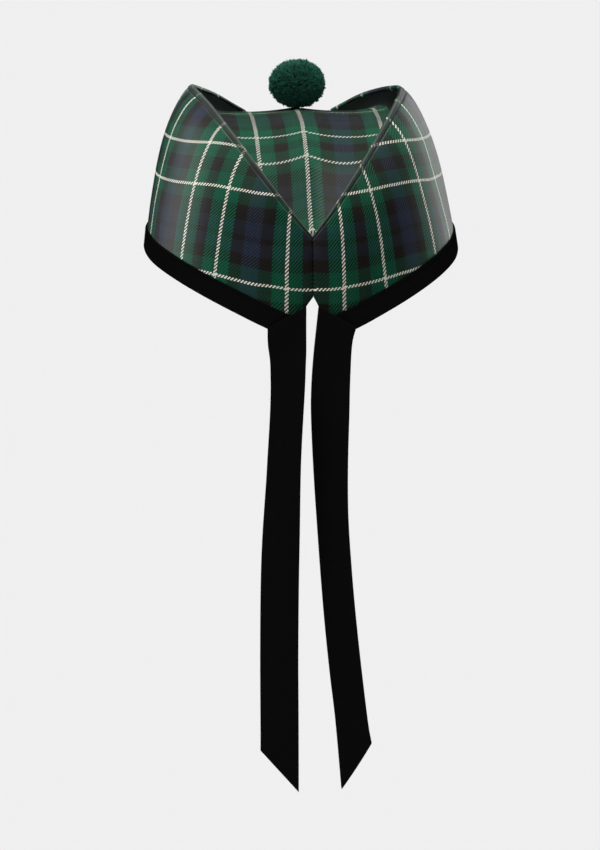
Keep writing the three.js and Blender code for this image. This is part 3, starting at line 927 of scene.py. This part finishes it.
def binding(name):
    turn = np.linspace(splitTurn(0, 1), 360 - splitTurn(0, -1), band["stations"])
    near = np.where(turn > 180, 360 - turn, turn)
    side = np.where(turn > 180, -1, 1)
    outer = bandFace(near, side, band["seat"] + ribbon["thick"], 1)
    inner = bandFace(near, side, band["seat"], 0)
    rings = np.concatenate([outer, inner[:, ::-1]], 1)
    rings[..., 0] *= side[:, None]
    along = np.where(turn > 180, 2 * rimLength(180.0) - rimLength(near), rimLength(near))
    across = runLength(outer, 1)
    u = np.concatenate([across, across[:, ::-1]], 1)
    uv = np.stack([u, np.broadcast_to(along[:, None], u.shape)], -1)
    return clothStrip(name, rings, uv, ribbonMaterial)


rimBand = binding("rimBand")
placePiece(rimBand, "ribbon", "binding")
print("band made")


# Stitches: a row in the groove under each welt, and one along the band's upper edge

stitches = {
    "length": 2.3,
    "pitch": 3.1,
    "thick": 0.42,
    "corners": 6,
    "arch": [-0.24, 0.04, 0.08, 0.04, -0.24],     # its two ends dip into the cloth
    "girth": [0.55, 0.95, 1, 0.95, 0.55],
    "weltTurns": (2.5, 177.5),
    "weltLift": -0.3,         # from the wall's face
    "bandLift": 0.98,
    "linePoints": 1200,
    "weltColour": (0.012, 0.026, 0.021),
    "bandColour": (0.0024, 0.0024, 0.0026),
    "plainBright": 0.6,
    "fibreBright": 0.8,
    "fibreScale": 4000,
    "finish": {"Roughness": 0.7, "Specular IOR Level": 0.15},
    "bump": 0.4,
    "bumpDepth": 0.1,
}


def sewingThread(name, colour):
    material, tree, shader = newMaterial(name)
    coords = tree.nodes.new("ShaderNodeTexCoord")
    fibres = noise(tree, coords.outputs["Object"], stitches["fibreScale"])
    bright = calc(tree, "MULTIPLY", fibres, stitches["fibreBright"])
    bright = calc(tree, "ADD", stitches["plainBright"], bright)
    tree.links.new(blendColours(tree, 1.0, (*colour, 1), bright, "MULTIPLY"), shader.inputs["Base Color"])
    addBump(tree, shader, fibres, stitches["bump"], stitches["bumpDepth"])
    giveFinish(shader, stitches["finish"])
    return material


def weltLine(side):
    turn = np.linspace(*stitches["weltTurns"], stitches["linePoints"])
    rises = np.linspace(walls["weltStarts"], walls["weltEnds"], walls["weltRows"])
    length = runLength(wallPoint(*np.meshgrid(turn, rises, indexing="ij"), side), 1)
    rise = [np.interp(run[-1] - width, run, rises) for run, width in zip(length, weltWidth(turn))]
    point, normal, up = wallFrame(turn, np.array(rise), side)
    return (point + normal * stitches["weltLift"]) * (side, 1, 1), normal * (side, 1, 1)


def bandLine(side):
    turn = np.linspace(splitTurn(0, side), 180, stitches["linePoints"])
    height = bandTop(turn, side) * (1 - band["selvedge"] / (ribbon["width"] / 2))
    point, normal, up = wallFrame(turn, height, side)
    return (point + normal * stitches["bandLift"]) * (side, 1, 1), normal * (side, 1, 1)


def stitchRow(line, normal):
    run = runLength(line, 0)
    middles = np.arange(stitches["pitch"] / 2, run[-1] - stitches["length"], stitches["pitch"])
    places = middles[:, None] + np.linspace(-0.5, 0.5, len(stitches["arch"])) * stitches["length"]
    spine = np.stack([np.interp(places, run, column) for column in line.T], -1)
    out = unit(np.stack([np.interp(places, run, column) for column in normal.T], -1))
    spine = spine + out * np.array(stitches["arch"])[:, None]
    ahead = unit(np.gradient(spine, axis=1))
    across = np.cross(ahead, out)
    angle = 2 * math.pi * np.arange(stitches["corners"]) / stitches["corners"]
    ring = out[:, :, None] * np.cos(angle)[:, None] + across[:, :, None] * np.sin(angle)[:, None]
    girth = np.array(stitches["girth"]) * stitches["thick"] / 2
    return spine[:, :, None] + ring * girth[:, None, None]


def sew(name, material, slot, lines):
    rows = np.concatenate([stitchRow(*line) for line in lines])
    count, levels, corners = rows.shape[:3]
    faces = ringFaces(levels, corners)
    faces = (faces[None] + (np.arange(count) * levels * corners)[:, None, None]).reshape(-1, 4)
    points = rows.reshape(-1, 3)
    piece = buildMesh(name, points, outwardFaces(points, faces), None, material)
    placePiece(piece, slot)
    return piece


weltThread = sewingThread("weltThread", stitches["weltColour"])
bandThread = sewingThread("bandThread", stitches["bandColour"])
weltStitches = sew("weltStitches", weltThread, "tartan", [weltLine(-1), weltLine(1)])
sew("bandStitches", bandThread, "ribbon", [bandLine(-1), bandLine(1)])
studio["lit"]["sides"].objects.link(weltStitches)
print("stitches made")


# Tails: the ribbon's two ends, folded over at the back and cut on a slant

tails = {
    "stations": 240,
    "steps": 32,
    "thinner": 0.08,          # each face lies this much inside the ribbon's thickness
    "selvedgeProud": 0.12,
    "selvedgeAt": 0.94,       # share of the half width
    "selvedgeWidth": 0.03,
    "foldThick": 0.5,         # extra thickness at the fold, and how far down it reaches
    "foldReach": 2.5,
    "endRound": 0.6,          # rounding of the two ends, down to this share of the thickness
    "endThin": 0.15,
    "ripple": 0.25,           # starts below the fold
    "rippleFrom": (20, 60),
    "rippleLength": 23,
    "rippleTwist": 1.3,
    # z, x outwards from the middle, y, yaw of the outer edge forwards, bow, slant of the row
    "left": [
        (-21.5, 15.6, -102.9, 12, 0.5, 6.6),
        (-38, 15.5, -103, 15, 0.6, 0),
        (-47, 15.1, -103.2, 28, 0.8, 0),
        (-58, 15.1, -103.4, 33, 1, 0),
        (-111, 17.5, -104.2, 34, 1.6, 0),
        (-165, 19.6, -103.6, 17, 1, 0),
        (-219, 20.2, -103, 12, 0.6, 0),
        (-272, 20.1, -103.4, 9, 0.4, 0),
        (-293.5, 20.1, -103.6, 8, 0.3, -12.5),
    ],
    "right": [
        (-21.5, 13.6, -103.2, 11, 0.5, 6.6),
        (-38, 11.2, -103.4, 10, 0.5, 0),
        (-58, 9.8, -104, 2, 0.8, 0),
        (-88, 9.3, -104.4, -22, 1.2, 0),
        (-130, 10.2, -104, -37, 1.6, 0),
        (-172, 13, -103.4, -40, 1.4, 0),
        (-239, 19.3, -103, -38, 1, 0),
        (-264, 22.3, -103.2, -36, 0.7, 0),
        (-291.5, 25.3, -103.4, -44, 0.5, -16),
    ],
}


def tail(name, key, side):
    table = np.array(tails[key], float)
    z = np.linspace(table[0, 0], table[-1, 0], tails["stations"])
    x, y, yaw, bow, slant = [smoothCurve(-table[:, 0], column, -z)[:, None] for column in table.T[1:]]
    yaw = np.radians(yaw)
    across = np.linspace(-1, 1, tails["steps"])[None]
    half = ribbon["width"] / 2
    lean = bow * (1 - across**2)
    px = x + half * across * np.cos(yaw) - lean * np.sin(yaw)
    py = y + half * across * np.sin(yaw) - lean * np.cos(yaw)
    pz = z[:, None] - slant * across
    middle = np.stack([px, py, pz], -1)
    normal = np.stack([np.sin(yaw) + 0 * px, -np.cos(yaw) + 0 * px, 0 * px], -1)
    fromTop = runLength(middle, 0)
    ripple = np.sin(fromTop / tails["rippleLength"] + tails["rippleTwist"] * across + side)
    ripple = tails["ripple"] * smoothStep(*tails["rippleFrom"], fromTop) * ripple
    selvedge = ridge(np.abs(across), tails["selvedgeAt"], tails["selvedgeWidth"])
    thick = ribbon["thick"] / 2 - tails["thinner"] + tails["selvedgeProud"] * selvedge
    thick = thick + tails["foldThick"] * np.exp(-fromTop / tails["foldReach"]) / 2
    ends = np.clip(np.minimum(fromTop, fromTop[-1:] - fromTop) / tails["endRound"], 0, 1)
    thick = thick * np.sqrt(np.clip(1 - (1 - ends) ** 2, tails["endThin"], 1))
    front = middle + normal * (thick + ripple)[..., None]
    back = middle - normal * (thick - ripple)[..., None]
    rings = np.concatenate([front, back[:, ::-1]], 1)
    rings[..., 0] *= side
    u = np.broadcast_to((across + 1) * half, fromTop.shape)
    v = np.concatenate([fromTop, fromTop[:, ::-1]], 1)
    uv = np.stack([np.concatenate([u, u[:, ::-1]], 1), v], -1)
    piece = clothStrip(name, rings, uv, ribbonMaterial)
    return piece, float(fromTop[-1, tails["steps"] // 2])


for key, side in (("left", -1), ("right", 1)):
    piece, length = tail("tail" + key.capitalize(), key, side)
    placePiece(piece, "ribbon", "tail_" + key)
    print("tail", key, round(length, 1), "mm")


# Pompom: thousands of cut yarn ends on a dense core

pompom = {
    "tufts": 2900,
    "plies": 4,
    "flatness": 0.87,         # height against width
    "moveRight": 0.3,
    "coreShare": 0.86,        # core's size against the whole
    "coreDetail": 4,
    "coreClear": 0.1,         # both stay clear of the crown
    "yarnClear": 0.05,
    "scatter": 0.012,
    "lean": 0.2,
    "plyLean": 0.12,
    "skew": (0.3, 0.2, 0.9),  # plies are placed square to this
    "tuftLength": 4.2,
    "lengthRange": (0.9, 1.06),
    "unevenness": 0.55,
    "tuftSpread": 0.34,       # plies stand this far from the tuft's middle
    "spreadRange": (0.6, 1.25),
    "rootSpread": 0.6,
    "tipSpread": 0.8,
    "plyWidth": 0.34,
    "corners": 3,
    "levels": [0, 0.55, 1],   # rings up each ply, with their widths
    "widths": [0.9, 1.15, 0.75],
    "twist": 1.4,
    "crest": 0.25,            # point that closes a ply, above its last ring
    "seed": 11,
}


def tuftDirections(random):
    count = pompom["tufts"]
    i = np.arange(count)
    height = 1 - 2 * (i + 0.5) / count
    angle = i * math.pi * (3 - math.sqrt(5))    # golden angle, so that the tufts are evenly spread
    flat = np.sqrt(1 - height**2)
    direction = np.stack([flat * np.cos(angle), flat * np.sin(angle), height], -1)
    return unit(direction + random.normal(0, pompom["scatter"], (count, 3)))


def plyFaces(base):
    # one ply of every tuft: its rings, closed by the crest
    count = pompom["tufts"]
    corners = pompom["corners"]
    rings = len(pompom["levels"])
    i = base + np.arange(count)
    faces = []
    for level in range(rings):
        for corner in range(corners):
            a = i + (level * corners + corner) * count
            b = i + (level * corners + (corner + 1) % corners) * count
            if level == rings - 1:
                faces.append(np.stack([a, b, i + rings * corners * count], -1))
            else:
                faces.append(np.stack([a, b, b + corners * count], -1))
                faces.append(np.stack([a, b + corners * count, a + corners * count], -1))
    return faces


def toorie(name):
    low, high = (np.array(corner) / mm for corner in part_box("toorie"))
    half = (high - low) / 2
    half[2] = half[0] * pompom["flatness"]
    centre = (low + high) / 2
    centre[0] += pompom["moveRight"]
    centre[2] = high[2] - half[2]
    count = pompom["tufts"]
    corners = pompom["corners"]
    random = np.random.default_rng(pompom["seed"])
    direction = tuftDirections(random)
    lean = unit(direction + random.normal(0, pompom["lean"], (count, 3)))
    side = unit(np.cross(lean, np.array(pompom["skew"])))
    other = np.cross(lean, side)
    reach = random.normal(0, pompom["unevenness"], count)
    dye = random.uniform(0, 1, count)

    points = []
    tips = []
    faces = []
    for ply in range(pompom["plies"]):
        turn = 2 * math.pi * ply / pompom["plies"] + random.uniform(0, 6, count)
        apart = pompom["tuftSpread"] * random.uniform(*pompom["spreadRange"], count)
        push = side * (apart * np.cos(turn))[:, None] + other * (apart * np.sin(turn))[:, None]
        plyLean = unit(lean + random.normal(0, pompom["plyLean"], (count, 3)))
        length = pompom["tuftLength"] * random.uniform(*pompom["lengthRange"], count) + reach
        root = centre + direction * (half - pompom["tuftLength"]) + push * pompom["rootSpread"]
        faces.extend(plyFaces(len(points) * count))
        for level, width in zip(pompom["levels"], pompom["widths"]):
            spine = root + plyLean * (length * level)[:, None] + push * pompom["tipSpread"] * level
            for corner in range(corners):
                a = 2 * math.pi * corner / corners + turn + level * pompom["twist"]
                offset = side * np.cos(a)[:, None] + other * np.sin(a)[:, None]
                points.append(spine + offset * pompom["plyWidth"] * width)
                tips.append(np.full(count, level))
        points.append(root + plyLean * (length + pompom["crest"])[:, None] + push * pompom["tipSpread"])
        tips.append(np.ones(count))
    dyes = np.tile(dye, len(points))
    points = np.concatenate(points)
    points[:, 2] = np.maximum(points[:, 2], low[2] + pompom["yarnClear"])

    shape = bmesh.new()
    bmesh.ops.create_icosphere(shape, subdivisions=pompom["coreDetail"], radius=1)
    core = np.array([v.co[:] for v in shape.verts]) * half * pompom["coreShare"] + centre
    core[:, 2] = np.maximum(core[:, 2], low[2] + pompom["coreClear"])
    faces.append(np.array([[v.index for v in f.verts] for f in shape.faces]) + len(points))
    shape.free()
    piece = buildMesh(name, np.concatenate([points, core]), np.concatenate(faces), None, yarnMaterial)
    # the tip paint carries the painted shade, darkest at the roots and on the core
    paint(piece, "tip", np.concatenate([*tips, np.zeros(len(core))]))
    paint(piece, "dye", np.concatenate([dyes, np.full(len(core), 0.5)]))
    return piece


topPompom = toorie("topPompom")
placePiece(topPompom, "yarn", "toorie")
print("pompom made")
